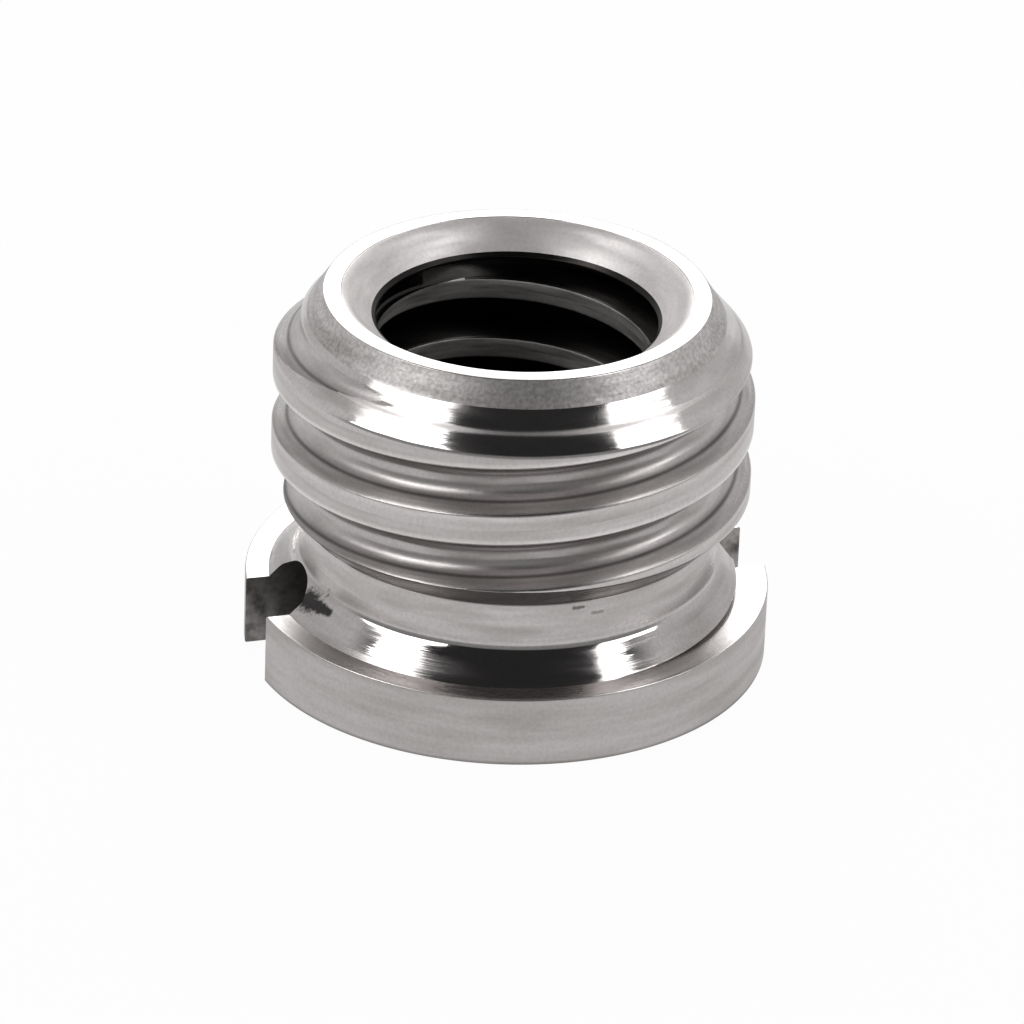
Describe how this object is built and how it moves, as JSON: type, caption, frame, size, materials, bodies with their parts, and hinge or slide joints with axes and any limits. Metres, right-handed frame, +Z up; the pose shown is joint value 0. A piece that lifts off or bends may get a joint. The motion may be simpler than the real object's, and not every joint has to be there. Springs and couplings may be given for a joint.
{
  "type": "tripod thread adapter",
  "caption": "Flanged metal bushing with a coarse outer thread, a finer through thread and a screwdriver slot across its underside.",
  "frame": {"origin": "centre of the flange's underside, on the thread axis", "axes": "+Z up along the thread axis from the flange to the threaded end, +X along the screwdriver slot"},
  "size_m": [0.01, 0.01, 0.0074],
  "materials": {
    "plated_metal": "thin nickel plate over turned metal, satin on the flange rim and tip, brighter on the cones and crests"
  },
  "bodies": {
    "root": {"adapter_body": "plated_metal"}
  },
  "joints": []
}
